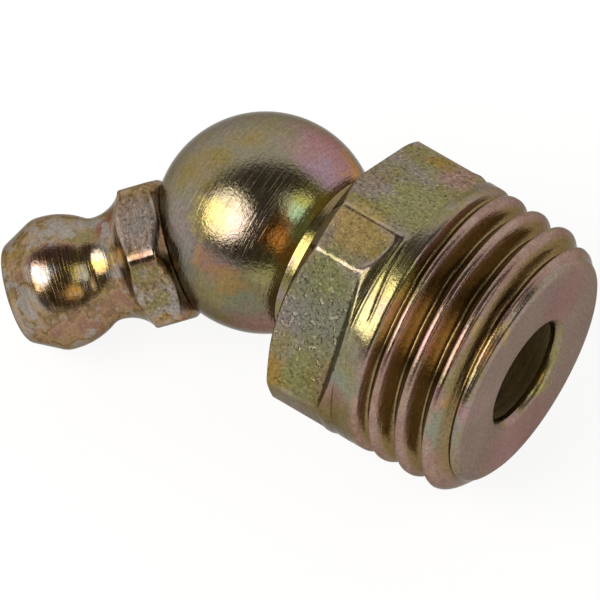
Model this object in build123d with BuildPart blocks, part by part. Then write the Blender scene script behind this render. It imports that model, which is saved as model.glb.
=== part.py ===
"""A grease nipple set at 45 degrees on a threaded stud, lying as it comes to rest.

The stud runs along +X from the centre of its open end face, with +Z up. The nipple
leaves the ball at the stud's far end towards +X, +Y and the ground, so that the part
lies on its rim, its band and a corner of its square.
"""

import os
from math import asin, atan, atan2, cos, degrees, hypot, radians, sin, sqrt, tan

from build123d import *

os.makedirs("parts", exist_ok=True)

# Stud: places are measured along its axis from the open end face.
stud_diameter = 14.0  # over the barrel that the square is cut from
band_diameter = 13.86  # plain band behind the thread, as wide as its largest crest
band_place = 5.5
band_width = 0.9
band_taper_length = 0.8
end_face_diameter = 11.46
bore_diameter = 5.3
bore_depth = 11.0
bore_edge = 0.24
drill_point_angle = 118
passage_diameter = 3.0
neck_diameter = 8.1
neck_length = 0.95
ball_diameter = 10.56

# Thread: metric pitch on a taper, right-hand, with a groove that slowly rises out at its end.
thread_pitch = 1.5
thread_taper = 1 / 16  # of the diameter, over the length
thread_depth = 0.92
thread_root_width = 0.14
thread_flank_angle = 30
thread_full_length = 4.5  # along which the groove has its full depth
thread_run_out_pitch = 1.2
thread_run_out_turns = 1.1
thread_turn = -93  # the groove's place around the end face, from the head's side
cutter_overshoot = 0.12

# Wrench square: four flats that rise out towards the thread, and four narrow corner flats.
square_width = 11.5
corner_width = 13.7
square_end_place = 10.74
square_face_diameter = 12.0  # of the turned face towards the neck
square_turn = 9  # a corner's place around the stud, from the head's side
square_chamfer_angle = 30
square_chamfer_radius = 3.0
flat_foot_places = (7.3, 6.35, 7.3, 7.3)  # where the step out of each flat starts
flat_foot_radius = 0.55
flat_shoulder_places = (6.7, 6.1, 6.7, 6.7)  # where that step ends
flat_shoulder_radius = 0.35
flat_shoulder_depth = 0.17  # under the band
flat_run_out_place = 5.2  # where all of them are clear of the band
flat_run_out_clearance = 0.06
corner_start_place = 7.4
corner_run_out_length = 0.9

# Head: places are measured along its own axis from the centre of the ball.
head_angle = 45  # between the stud's axis and the head's
head_dip = 19.2  # how far the head points down as the part lies on its rim and the stud
seat_place = 4.2  # face that the head's collar stands on
spigot_diameter = 5.0
spigot_length = 3.4
spigot_chamfer = 0.3
spigot_passage_diameter = 1.6
collar_width = 6.8  # across the flats of its hexagon
collar_turn = -15.3
collar_chamfer_length = 0.6
collar_chamfer_width = 0.72
head_neck_place = 8.0
head_neck_diameter = 5.04
collar_flare_radius = 2.02
hook_root_radius = 0.9
hook_angle = 33
rim_diameter = 6.5
rim_length = 0.15
rim_front_radius = 1.0
nose_angle = 27.5
tip_place = 12.6
tip_edge_radius = 0.5

# Valve inside the head: a ball held against a conical seat by a spring.
tip_hole_diameter = 1.6
tip_hole_length = 0.4
valve_seat_angle = 45
chamber_diameter = 3.0
chamber_floor_place = 5.5
check_ball_diameter = 2.4
valve_clearance = 0.03
spring_wire_diameter = 0.35
spring_wire_sides = 8
spring_diameter = 1.9  # of the wire's centre line
spring_open_turns = 4
spring_closed_turns = 1  # at each end, coil on coil

stud_radius = stud_diameter / 2
band_radius = band_diameter / 2
neck_radius = neck_diameter / 2
ball_radius = ball_diameter / 2
bore_radius = bore_diameter / 2
ball_place = square_end_place + neck_length + sqrt(ball_radius**2 - neck_radius**2)

# Outline of the head's hook, worked out along its tangent arcs from the neck to the rim.
rim_radius = rim_diameter / 2
head_neck_radius = head_neck_diameter / 2
hook_sine = sin(radians(hook_angle))
hook_drop = 1 - cos(radians(hook_angle))
hook_root_end = (
    head_neck_radius + hook_root_radius * hook_drop,
    head_neck_place + hook_root_radius * hook_sine,
)
hook_back_radius = (rim_radius - hook_root_end[0]) / hook_drop
rim_place = hook_root_end[1] + hook_back_radius * hook_sine

head_drop = sin(radians(head_dip))
head_side = sqrt(sin(radians(head_angle)) ** 2 - head_drop**2)
head_axis = Vector(cos(radians(head_angle)), head_side, -head_drop)
head_heading = degrees(atan2(-head_drop, head_side))

stud_axis = Vector(1, 0, 0)
elbow_normal = stud_axis.cross(head_axis).normalized()
head_plane = Plane(origin=(ball_place, 0, 0), x_dir=elbow_normal, z_dir=head_axis)
head_section = Plane(
    origin=head_plane.origin, x_dir=head_plane.x_dir, z_dir=-head_plane.y_dir
)


def stud_section(angle):
    """Plane through the stud's axis: X along the stud, Y outwards at an angle from the head's side."""
    turn = radians(head_heading + angle)
    outward = Vector(0, cos(turn), sin(turn))
    return Plane(origin=(0, 0, 0), x_dir=stud_axis, z_dir=stud_axis.cross(outward))


def crest_radius(place):
    """Radius over the thread's crests at a place along the stud."""
    return band_radius - (band_place - place) * thread_taper / 2


def helix_from(place, radius, turn, pitch, length, cone_angle):
    """Right-hand helix around the stud, widening as it runs along +X from an angle about it."""
    helix = Helix(
        pitch=pitch,
        height=length,
        radius=radius,
        center=(place, 0, 0),
        direction=(1, 0, 0),
        cone_angle=cone_angle,
    )
    start = helix @ 0
    return helix.rotate(Axis.X, turn - degrees(atan2(start.Z, start.Y)))


def groove_profile(path):
    """The groove's section, standing in the axial plane at the start of its path."""
    start = path @ 0
    outward = Vector(0, start.Y, start.Z).normalized()
    height = thread_depth + cutter_overshoot
    half_root = thread_root_width / 2
    half_mouth = half_root + height * tan(radians(thread_flank_angle))
    plane = Plane(origin=start, x_dir=stud_axis, z_dir=stud_axis.cross(outward))
    with BuildSketch(plane, mode=Mode.PRIVATE) as profile:
        Polygon(
            (-half_root, 0),
            (half_root, 0),
            (half_mouth, height),
            (-half_mouth, height),
            align=None,
        )
    return profile.sketch


# The groove starts a turn ahead of the end face, follows the taper for the thread's full
# length and then climbs out of the stud.
groove_path = helix_from(
    place=-thread_pitch,
    radius=crest_radius(-thread_pitch) - thread_depth,
    turn=head_heading + thread_turn,
    pitch=thread_pitch,
    length=thread_full_length + thread_pitch,
    cone_angle=degrees(atan(thread_taper / 2)),
)
groove_stop = groove_path @ 1
run_out_length = thread_run_out_pitch * thread_run_out_turns
run_out_path = helix_from(
    place=groove_stop.X,
    radius=hypot(groove_stop.Y, groove_stop.Z),
    turn=degrees(atan2(groove_stop.Z, groove_stop.Y)),
    pitch=thread_run_out_pitch,
    length=run_out_length,
    cone_angle=degrees(atan((thread_depth + cutter_overshoot) / run_out_length)),
)
groove_end_place = thread_full_length + run_out_length + thread_pitch

# Bar with the thread cut into it: the thread's cone runs past both ends of the thread.
with BuildPart() as threaded_bar:
    with BuildSketch(Plane.XY):
        Polygon(
            (-2 * thread_pitch, 0),
            (-2 * thread_pitch, crest_radius(-2 * thread_pitch)),
            (groove_end_place, crest_radius(groove_end_place)),
            (groove_end_place, stud_diameter),
            (ball_place + ball_diameter, stud_diameter),
            (ball_place + ball_diameter, 0),
            align=None,
        )
    revolve(axis=Axis.X)

    whole_path = Wire([groove_path, run_out_path])
    sweep(groove_profile(groove_path), whole_path, is_frenet=True, mode=Mode.SUBTRACT)

with BuildPart() as elbow_body:
    # Turned outline: chamfered start, thread cone, band, barrel, neck and ball.
    chamfer_length = (crest_radius(0) - end_face_diameter / 2) / (1 - thread_taper / 2)
    square_chamfer = (stud_diameter - square_face_diameter) / 2 * tan(
        radians(square_chamfer_angle)
    )
    with BuildSketch(Plane.XY):
        with BuildLine():
            ball_arc = 180 - degrees(asin(neck_radius / ball_radius))
            ball = CenterArc((ball_place, 0), ball_radius, start_angle=0, arc_size=ball_arc)
            to_chamfer = Polyline(
                ball @ 1,
                (square_end_place, neck_radius),
                (square_end_place, square_face_diameter / 2),
            )
            chamfer_start = (square_end_place - square_chamfer, stud_radius)
            chamfer = RadiusArc(to_chamfer @ 1, chamfer_start, -square_chamfer_radius)
            Polyline(
                chamfer @ 1,
                (band_place + band_width + band_taper_length, stud_radius),
                (band_place + band_width, band_radius),
                (band_place, band_radius),
                (chamfer_length, crest_radius(chamfer_length)),
                (0, end_face_diameter / 2),
                (0, 0),
                ball @ 0,
            )
        make_face()
    revolve(axis=Axis.X)

    # Flats of the square, each rising out through a smooth shoulder towards the thread.
    flat_height = square_width / 2
    for side, (foot_place, shoulder_place) in enumerate(zip(flat_foot_places, flat_shoulder_places)):
        with BuildSketch(stud_section(square_turn + 45 + 90 * side)):
            with BuildLine():
                run_out = FilletPolyline(
                    (square_end_place, flat_height),
                    (foot_place, flat_height),
                    (shoulder_place, band_radius - flat_shoulder_depth),
                    (flat_run_out_place, band_radius + flat_run_out_clearance),
                    radius=(flat_foot_radius, flat_shoulder_radius),
                )
                Polyline(
                    run_out @ 1,
                    (flat_run_out_place, stud_diameter),
                    (square_end_place, stud_diameter),
                    run_out @ 0,
                )
            make_face()
        extrude(amount=stud_radius, both=True, mode=Mode.SUBTRACT)

    # Narrow flats on the four corners.
    corner_height = corner_width / 2
    with BuildSketch(*[stud_section(square_turn + angle) for angle in (0, 90, 180, 270)]):
        Polygon(
            (corner_start_place, corner_height),
            (square_end_place, corner_height),
            (square_end_place, stud_diameter),
            (corner_start_place - corner_run_out_length, stud_diameter),
            (corner_start_place - corner_run_out_length, stud_diameter - corner_height),
            align=None,
        )
    extrude(amount=stud_radius / 2, both=True, mode=Mode.SUBTRACT)

    # Face on the ball that the head's collar stands on.
    with BuildSketch(head_plane.offset(seat_place)):
        Circle(ball_radius)
    extrude(amount=ball_radius, mode=Mode.SUBTRACT)

    # Grease way: a drilled bore with a broken edge, a passage, a crossing and the spigot's hole.
    drill_point = bore_radius / tan(radians(drill_point_angle / 2))
    with BuildSketch(Plane.XY):
        Polygon(
            (0, 0),
            (0, bore_radius + bore_edge),
            (bore_edge, bore_radius),
            (bore_depth, bore_radius),
            (bore_depth + drill_point, 0),
            align=None,
        )
    revolve(axis=Axis.X, mode=Mode.SUBTRACT)
    with BuildSketch(Plane.YZ):
        Circle(passage_diameter / 2)
    extrude(amount=ball_place, mode=Mode.SUBTRACT)
    with BuildSketch(head_plane):
        Circle(passage_diameter / 2)
    extrude(amount=seat_place, mode=Mode.SUBTRACT)
    with BuildSketch(head_plane.offset(seat_place)):
        Circle(spigot_diameter / 2)
    extrude(amount=-spigot_length, mode=Mode.SUBTRACT)

    # Thread groove.
    add(threaded_bar.part, mode=Mode.INTERSECT)
elbow_body.part.label = "elbow_body"
export_step(elbow_body.part, "parts/elbow_body.step")

# Cone that the valve's ball closes against, from the tip hole to the chamber's wall.
tip_hole_radius = tip_hole_diameter / 2
chamber_radius = chamber_diameter / 2
valve_seat_top = tip_place - tip_hole_length
valve_seat_length = (chamber_radius - tip_hole_radius) / tan(radians(valve_seat_angle))

with BuildPart() as nipple_head:
    # Turned outline: spigot, collar, neck, hooked rim and nose.
    collar_radius = collar_width / sqrt(3)
    flare_centre_radius = head_neck_radius + collar_flare_radius
    collar_end_place = head_neck_place - sqrt(
        collar_flare_radius**2 - (flare_centre_radius - collar_radius) ** 2
    )
    with BuildSketch(head_section):
        with BuildLine():
            spigot_end_place = seat_place - spigot_length
            to_collar = Polyline(
                (0, spigot_end_place),
                (spigot_diameter / 2 - spigot_chamfer, spigot_end_place),
                (spigot_diameter / 2, spigot_end_place + spigot_chamfer),
                (spigot_diameter / 2, seat_place),
                (collar_radius - collar_chamfer_width, seat_place),
                (collar_radius, seat_place + collar_chamfer_length),
                (collar_radius, collar_end_place),
            )
            flare = RadiusArc(
                to_collar @ 1, (head_neck_radius, head_neck_place), collar_flare_radius
            )
            hook_root = TangentArc(flare @ 1, hook_root_end, tangent=(0, 1))
            hook_back = TangentArc(hook_root @ 1, (rim_radius, rim_place), tangent=hook_root % 1)
            rim = Line(hook_back @ 1, (rim_radius, rim_place + rim_length))
            front = JernArc(rim @ 1, (0, 1), rim_front_radius, nose_angle)
            nose = PolarLine(
                front @ 1, tip_place - (front @ 1).Y, direction=front % 1, length_mode=LengthMode.VERTICAL
            )
            Polyline(nose @ 1, (0, tip_place), (0, spigot_end_place))
        make_face()
    revolve(axis=Axis(head_plane.origin, head_plane.z_dir))
    tip_face = nipple_head.faces().sort_by(Axis(head_plane.origin, head_plane.z_dir))[-1]
    fillet(tip_face.edges(), tip_edge_radius)

    # Hexagon of the collar.
    with BuildSketch(head_plane):
        RegularPolygon(collar_width / 2, 6, major_radius=False, rotation=collar_turn)
    extrude(amount=tip_place, mode=Mode.INTERSECT)

    # Grease way with the valve's chamber, its seat and the tip hole.
    with BuildSketch(head_section):
        Polygon(
            (0, tip_place),
            (tip_hole_radius, tip_place),
            (tip_hole_radius, valve_seat_top),
            (chamber_radius, valve_seat_top - valve_seat_length),
            (chamber_radius, chamber_floor_place),
            (spigot_passage_diameter / 2, chamber_floor_place),
            (spigot_passage_diameter / 2, spigot_end_place),
            (0, spigot_end_place),
            align=None,
        )
    revolve(axis=Axis(head_plane.origin, head_plane.z_dir), mode=Mode.SUBTRACT)
nipple_head.part.label = "nipple_head"
export_step(nipple_head.part, "parts/nipple_head.step")

# The ball lies a small clearance inside the point where it would touch the cone.
check_ball_radius = check_ball_diameter / 2
seat_cone_apex = valve_seat_top + tip_hole_radius / tan(radians(valve_seat_angle))
check_ball_place = seat_cone_apex - (check_ball_radius + valve_clearance) / sin(
    radians(valve_seat_angle)
)
with BuildPart(head_plane.offset(check_ball_place)) as check_ball:
    Sphere(check_ball_radius)
check_ball.part.label = "check_ball"
export_step(check_ball.part, "parts/check_ball.step")

# Spring from the chamber's floor to the back of the ball, with closed turns at both ends.
wire_radius = spring_wire_diameter / 2
coil_radius = spring_diameter / 2
spring_start = chamber_floor_place + wire_radius + valve_clearance
spring_stop = check_ball_place - sqrt(
    (check_ball_radius + wire_radius + valve_clearance) ** 2 - coil_radius**2
)
closed_length = spring_closed_turns * (spring_wire_diameter + valve_clearance)
open_length = spring_stop - spring_start - 2 * closed_length

with BuildPart() as spring:
    coil_start = spring_start
    for turns, length in (
        (spring_closed_turns, closed_length),
        (spring_open_turns, open_length),
        (spring_closed_turns, closed_length),
    ):
        coil = Helix(
            pitch=length / turns,
            height=length,
            radius=coil_radius,
            center=head_plane.from_local_coords((0, 0, coil_start)),
            direction=head_axis,
        )
        with BuildSketch(Plane(origin=coil @ 0, z_dir=coil % 0)):
            RegularPolygon(wire_radius, spring_wire_sides)
        sweep(path=coil, is_frenet=True)
        coil_start += length
spring.part.label = "spring"
export_step(spring.part, "parts/spring.step")
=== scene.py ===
"""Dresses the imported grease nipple: metal skins, plated finishes, floor, light and camera.

Lengths are in millimetres, in the row's own frame: the stud runs along +X from its open end
face, and the head's axis leaves the ball at 45 degrees. Fields hold angles in degrees, and
arrays hold them in radians. Meshes are scaled to metres where they are made.
"""

import logging
from dataclasses import dataclass, field
from enum import Enum
from math import acos, asin, atan2, cos, degrees, pi, radians, sin, sqrt, tan
from typing import Any, Callable, Optional, Union

import bpy
import numpy as np
from mathutils import Matrix, Vector


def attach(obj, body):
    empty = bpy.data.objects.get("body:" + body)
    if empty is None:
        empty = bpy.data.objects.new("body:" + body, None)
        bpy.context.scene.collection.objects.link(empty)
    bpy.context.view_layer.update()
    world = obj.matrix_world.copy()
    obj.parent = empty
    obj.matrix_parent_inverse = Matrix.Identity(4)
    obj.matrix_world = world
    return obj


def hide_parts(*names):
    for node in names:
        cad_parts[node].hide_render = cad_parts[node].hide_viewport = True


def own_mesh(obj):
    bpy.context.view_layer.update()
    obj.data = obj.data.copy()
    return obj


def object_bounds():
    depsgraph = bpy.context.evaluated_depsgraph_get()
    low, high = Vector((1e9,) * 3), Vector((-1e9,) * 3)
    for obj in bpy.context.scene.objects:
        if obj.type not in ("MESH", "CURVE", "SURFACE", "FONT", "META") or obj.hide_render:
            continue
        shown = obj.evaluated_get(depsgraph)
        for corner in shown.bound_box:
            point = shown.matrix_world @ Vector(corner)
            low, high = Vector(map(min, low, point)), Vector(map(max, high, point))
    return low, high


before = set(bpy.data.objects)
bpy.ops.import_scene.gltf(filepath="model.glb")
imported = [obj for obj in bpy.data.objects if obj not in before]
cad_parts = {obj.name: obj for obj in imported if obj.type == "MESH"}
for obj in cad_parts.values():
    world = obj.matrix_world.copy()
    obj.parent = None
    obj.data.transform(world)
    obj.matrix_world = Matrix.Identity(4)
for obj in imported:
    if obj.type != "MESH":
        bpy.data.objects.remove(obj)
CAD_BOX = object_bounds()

logging.basicConfig(level=logging.INFO, format="%(message)s")
log = logging.getLogger("grease_nipple")

MM = 0.001  # metres
MICROMETRE = 1e-6  # metres
FAR = 99.0  # a radius outside everything
Colour = tuple[float, float, float]
Point = tuple[float, float, float]
Pair = tuple[float, float]
Floats = tuple[float, ...]
Array = np.ndarray
Numbers = Union[Array, float]
Piece, Material = bpy.types.Object, bpy.types.Material
Tree, Node, Socket = bpy.types.NodeTree, bpy.types.Node, bpy.types.NodeSocket


class Body(Enum):
    """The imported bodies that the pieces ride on."""

    NIPPLE = "nipple"
    VALVE_BALL = "valve_ball"


class Slot(Enum):
    """The record's material slots."""

    BODY = "plated_body"
    HEAD = "plated_head"
    BALL = "ball_steel"
    SPRING = "spring_steel"


class Outline(Enum):
    """Shapes of a softbox."""

    BOX = "RECTANGLE"
    ROUND = "ELLIPSE"


class Grain(Enum):
    """Kinds of noise, as scale per millimetre, detail and roughness."""

    FINE = (6.5, 3.0, 0.6)
    PORES = (5.5, 2.0, 0.7)
    PITS = (4.2, 3.0, 0.65)
    MARKS = (1.0, 3.0, 0.7)
    SCRATCHES = (2.3, 1.0, 0.5)
    BLOTCHES = (0.75, 5.0, 0.62)
    DENTS = (3.3, 1.0, 0.5)


class Band(Enum):
    """Ranges over which a mask rises, or falls where the first number is the higher."""

    ROSY = (0.44, 0.58)
    WORN_SHEEN_EDGE = (0.45, 0.9)
    WORN_SHEEN_PATCH = (0.38, 0.52)
    BLOTCH = (0.54, 0.59)
    GROOVE = (0.12, 0.5)
    INNER = (0.85, 0.95)
    SCRATCH = (0.60, 0.72)
    PORE = (0.43, 0.35)
    GLINT_SPECK = (0.62, 0.70)
    CRATER = (0.45, 0.35)
    CORNER = (0.5, 0.7)
    PAST_CORNER = (0.75, 0.95)
    MARKED = (0.3, 0.7)
    ON_FLAT = (0.6, 1.0)
    OFF_TURNED = (0.0, 0.75)
    DENT = (0.57, 0.64)
    DRIFT = (0.35, 0.65)


# ---- shapes


def soft_min(a: Numbers, b: Numbers, blend: float) -> Array:
    """The lower height, less a quarter of blend times the squared nearness of the two."""
    near = np.maximum(blend - np.abs(a - b), 0.0) / blend
    return np.minimum(a, b) - near * near * blend / 4


def soft_max(a: Numbers, b: Numbers, blend: float) -> Array:
    """The higher of two heights, rounded in the same way as soft_min."""
    return -soft_min(-a, -b, blend)


def smooth_step(x: Array, low: float, high: float) -> Array:
    """Rises from 0 at low to 1 at high along 3t^2 - 2t^3."""
    t = np.clip((x - low) / (high - low), 0.0, 1.0)
    return t * t * (3 - 2 * t)


def angle_from(angle: Array, centre: float) -> Array:
    """Signed difference of two angles, between -pi and pi."""
    return (angle - centre + pi) % (2 * pi) - pi


def spread(start: float, stop: float, step: float) -> Array:
    """Even places from start up to, and not with, stop, about step apart."""
    return np.linspace(start, stop, max(1, int(round(abs(stop - start) / step))), endpoint=False)


def full_turn(columns: int) -> Array:
    """So many even angles around an axis."""
    return np.arange(columns) * 2 * pi / columns


def around_stud(place: Numbers, radius: Numbers, angle: Numbers) -> Array:
    """Points at a place along X and a radius turned about it: x, r cos a, r sin a."""
    place, radius, angle = np.broadcast_arrays(place, radius, angle)
    return np.stack([place, radius * np.cos(angle), radius * np.sin(angle)], axis=-1)


@dataclass(frozen=True)
class HeadAxis:
    """The head's axis through the ball's centre, at an angle to the stud and dipping."""

    ball_place: float = 15.0776
    angle: float = 45.0
    dip: float = 19.2

    @property
    def along(self) -> Array:
        """Direction of the axis.

        Returns:
            The unit vector away from the ball.
        """
        drop = sin(radians(self.dip))
        side = sqrt(sin(radians(self.angle)) ** 2 - drop**2)
        return np.array([cos(radians(self.angle)), side, -drop])

    @property
    def heading(self) -> float:
        """Angle of the head's side about the stud, from +Y towards +Z, in radians."""
        return atan2(self.along[2], self.along[1])

    def at(self, place: float) -> Array:
        """The point of the axis at this place."""
        return np.array([self.ball_place, 0.0, 0.0]) + place * self.along

    def points(self, place: Numbers, radius: Numbers, angle: Numbers) -> Array:
        """Points about the axis: place along it plus radius turned about it by angle.

        Args:
            place: Distances from the ball's centre along the axis.
            radius: Distances from the axis.
            angle: Turns about it, from the normal of the plane that holds both axes.

        Returns:
            The points, in the arrays' common layout with x, y and z last.
        """
        place, radius, angle = (a[..., None] for a in np.broadcast_arrays(place, radius, angle))
        across = np.cross([1.0, 0.0, 0.0], self.along)
        across = across / np.linalg.norm(across)
        third = np.cross(self.along, across)
        middle = self.at(0.0) + place * self.along
        return middle + radius * np.cos(angle) * across + radius * np.sin(angle) * third


class Skin:
    """A closed mesh that grows by grids of points and shares their edge points."""

    def __init__(self, name: str) -> None:
        """Starts an empty skin.

        Args:
            name: Name of the object to be.
        """
        self.name = name
        self.points: list[Array] = []
        self.values: list[dict[str, Any]] = []
        self.faces: list[Array] = []
        self.count = 0

    def add(self, points: Array, **values: Any) -> Array:
        """Adds points.

        Args:
            points: Array whose last axis holds x, y and z in millimetres.
            **values: Named surface values, one number for each point or for all.

        Returns:
            The points' numbers, in the layout of the points.
        """
        flat = points.reshape(-1, 3)
        self.points.append(flat)
        self.values.append(values)
        self.count += len(flat)
        return np.arange(self.count - len(flat), self.count).reshape(points.shape[:-1])

    def quads(self, a: Array, b: Array, c: Array, d: Array) -> None:
        """Adds faces a, b, c, d, each as two triangles."""
        a, b, c, d = (np.ravel(x) for x in (a, b, c, d))
        self.faces.append(np.concatenate([np.c_[a, b, c], np.c_[a, c, d]]))

    def sheet(self, rows: Array) -> None:
        """Joins each row of numbers to the next one, closed around."""
        following = np.roll(rows, -1, axis=1)
        self.quads(rows[:-1], following[:-1], following[1:], rows[1:])

    def tube(self, points: Array, start: Array, end: Array, **values: Any) -> None:
        """Adds rows of points, closed around, and closes the first and last row to a point.

        Args:
            points: The rows.
            start: Point that closes the first row.
            end: Point that closes the last row.
            **values: Named surface values of the rows.
        """
        rows = self.add(points, **values)
        self.sheet(rows)
        for row, point in ((rows[0, ::-1], start), (rows[-1], end)):
            middle = np.full(len(row), self.add(point[None])[0])
            self.faces.append(np.c_[middle, row, np.roll(row, -1)])

    def build(self) -> Piece:
        """Merges equal points, drops faces without area and makes the object.

        Returns:
            The smooth-shaded object, at the origin, with a float attribute for each value.
        """
        points = np.concatenate(self.points)
        faces = np.concatenate(self.faces)
        _, first, number = np.unique(
            np.round(points, 5), axis=0, return_index=True, return_inverse=True
        )
        faces = number.reshape(-1)[faces]
        faces = faces[(faces != np.roll(faces, 1, axis=1)).all(axis=1)]
        used, faces = np.unique(faces, return_inverse=True)
        faces = faces.reshape(-1, 3)
        keep = first[used]
        mesh = bpy.data.meshes.new(self.name)
        mesh.vertices.add(len(keep))
        mesh.vertices.foreach_set("co", (points[keep] * MM).astype(np.float32).ravel())
        mesh.loops.add(faces.size)
        mesh.loops.foreach_set("vertex_index", faces.astype(np.int32).ravel())
        mesh.polygons.add(len(faces))
        mesh.polygons.foreach_set("loop_start", np.arange(0, faces.size, 3, dtype=np.int32))
        mesh.update(calc_edges=True)
        mesh.validate()
        mesh.polygons.foreach_set("use_smooth", np.ones(len(mesh.polygons), bool))
        for key in sorted({key for values in self.values for key in values}):
            stored = [
                np.broadcast_to(np.ravel(values.get(key, 0.0)), len(flat))
                for values, flat in zip(self.values, self.points)
            ]
            layer = mesh.attributes.new(key, "FLOAT", "POINT")
            layer.data.foreach_set("value", np.concatenate(stored)[keep].astype(np.float32))
        piece = bpy.data.objects.new(self.name, mesh)
        bpy.context.scene.collection.objects.link(piece)
        return piece


# ---- stud


@dataclass
class Stud:
    """The threaded stud with its wrench square, bore and neck. Places run along +X."""

    axis: HeadAxis
    columns: int = 440
    # Turned outline: thread cone, band, relief, taper and barrel, under the end's chamfer.
    taper: float = 1 / 32
    band_place: float = 5.5
    band_width: float = 0.9
    band_radius: float = 6.93
    relief_length: float = 0.12
    relief_depth: float = 0.09
    taper_length: float = 0.62
    barrel_radius: float = 7.0
    end_radius: float = 5.73
    end_blend: float = 0.2
    end_place: float = 0.32
    end_edge: float = 0.42
    edge_wear: float = 0.6
    end_bends: Floats = (25.0, 50.0, 75.0, 90.0)
    # Tool mark, slanting over the band, with painted shade along it.
    mark_place: float = 5.95
    mark_angle: float = 55.0
    mark_slope: float = 0.9
    mark_depth: float = 0.05
    mark_width: float = 0.09
    mark_spread: float = 0.45
    mark_groove_shade: float = 0.8
    # Thread.
    pitch: float = 1.5
    run_out_pitch: float = 1.2
    run_out_start: float = 2.5
    run_out_slope: float = 0.42
    groove_break: float = 3.75
    groove_stop: float = 4.12
    groove_turns: range = range(-1, 5)
    strip_turns: Pair = (-1.0, 5.25)
    thread_stop: float = 5.8
    crest_fade: Pair = (5.7, 5.2)
    depth: float = 0.92
    half_root: float = 0.07
    flank_angle: float = 30.0
    thread_turn: float = -93.0
    crest_blend: float = 0.15
    root_blend: float = 0.06
    mouth_shares: Floats = (0.0, 0.12, 0.38, 0.65, 0.86, 0.95)
    crest_shares: Floats = (0.05, 0.25, 0.5, 0.75, 0.95)
    # Wrench square: four flats and four corner flats, in turn from the head's side.
    square_turn: float = 9.0
    square_height: float = 5.75
    square_end: float = 10.74
    flat_reach: float = 75.0
    foot_places: Floats = (7.3, 6.35, 7.3, 7.3)
    foot_blend: float = 0.3
    shoulder_places: Floats = (6.7, 6.1, 6.7, 6.7)
    shoulder_blend: float = 0.2
    shoulder_depth: float = 0.17
    run_out_place: float = 5.2
    run_out_clearance: float = 0.06
    edge_blend: float = 0.16
    # Reach of the pale tint on rubbed edges, partly wear and partly painted highlight.
    flat_wear_sheen: float = 0.35
    flat_depth: float = 0.25
    corner_height: float = 6.85
    corner_reach: float = 40.0
    corner_starts: Floats = (7.4, 7.15, 7.4, 7.4)
    corner_slants: Floats = (0.0, 0.43, 0.0, 0.0)
    corner_slope: float = 1 / 3
    corner_blend: float = 0.05
    # Rubbed edges of the corner flats: the same pale tint, partly wear and partly painted
    # highlight.
    corner_wear_sheen: float = 0.25
    corner_wear_sheen_start: float = 6.6
    corner_mask: float = 0.7
    wear_sheen_fade: Pair = (6.2, 6.8)
    chamfer_radius: float = 6.5
    chamfer_offset: float = 1.07
    chamfer_turn: float = 259.0
    chamfer_slope: float = sqrt(3)
    chamfer_blend: float = 0.12
    chamfer_depth: Pair = (-0.05, 0.1)
    # Painted shade on the square's chamfer and back, beside the ball.
    ball_side_shade: float = 0.6
    square_bands: tuple[Point, ...] = ((5.8, 7.6, 0.06), (7.6, 9.8, 0.2), (9.8, 10.7, 0.055))
    last_row: float = 0.035
    back_inset: float = 0.03
    back_shares: Floats = (1.0, 0.985, 0.9, 0.6, 0.3, 0.1, 0.03, 0.0)
    # Neck, bore and grease passage.
    fillet: float = 0.18
    neck_radius: float = 4.05
    neck_places: Floats = (11.1, 11.3, 11.5, 11.7)
    neck_end: float = 11.9
    bore_radius: float = 2.65
    bore_depth: float = 11.0
    bore_edge: float = 0.24
    bore_rows: tuple[float, float, int] = (10.6, 0.6, 24)
    # Depths over which the bore's tint changes.
    bore_tint_depth: Pair = (0.05, 0.5)
    drill_angle: float = 59.0
    passage_radius: float = 1.5
    face_shares: Floats = (0.03, 0.2, 0.4, 0.6, 0.8, 0.95, 0.985, 1.0)
    skin: Skin = field(default_factory=lambda: Skin("stud_skin"))

    @property
    def start(self) -> float:
        """Angle about the stud at which the thread's turns are counted."""
        return self.axis.heading + radians(self.thread_turn)

    @property
    def angles(self) -> Array:
        """Angles of the columns about the stud."""
        return self.start + full_turn(self.columns)

    @property
    def edge_radius(self) -> Array:
        """Radius of each column where the end's rounded edge meets the thread."""
        return self.threaded(np.full(self.columns, self.end_place), self.angles)[0]

    def blank(self, place: Array) -> Array:
        """Radius before the end is chamfered, in straight runs between the outline's places.

        Args:
            place: Places along the stud.

        Returns:
            The radii.
        """
        band_end = self.band_place + self.band_width
        relief_end, taper_end = band_end + self.relief_length, band_end + self.taper_length
        cone = self.band_radius - self.band_place * self.taper
        relief = self.band_radius - self.relief_depth
        places = (0.0, self.band_place, band_end, relief_end, taper_end)
        radii = (cone, self.band_radius, self.band_radius, relief, self.barrel_radius)
        return np.interp(place, places, radii)

    def turned(self, place: Array) -> Array:
        """Radius of the turned outline: the blank under a chamfer that starts at the end."""
        return soft_min(self.blank(place), self.end_radius + place, self.end_blend)

    def groove_centre(self, turns: Array) -> Array:
        """Place of the groove after so many turns: a steady pitch, then a finer one."""
        past = np.maximum(turns - self.run_out_start, 0.0)
        return self.pitch * np.minimum(turns, self.run_out_start) + self.run_out_pitch * past

    def groove_depth(self, turns: Array) -> Array:
        """Depth of the groove after so many turns: full, then slowly and at last quickly out."""
        slow = self.depth - self.run_out_slope * np.maximum(turns - self.run_out_start, 0.0)
        return slow * smooth_step(turns, self.groove_stop, self.groove_break)

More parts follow.
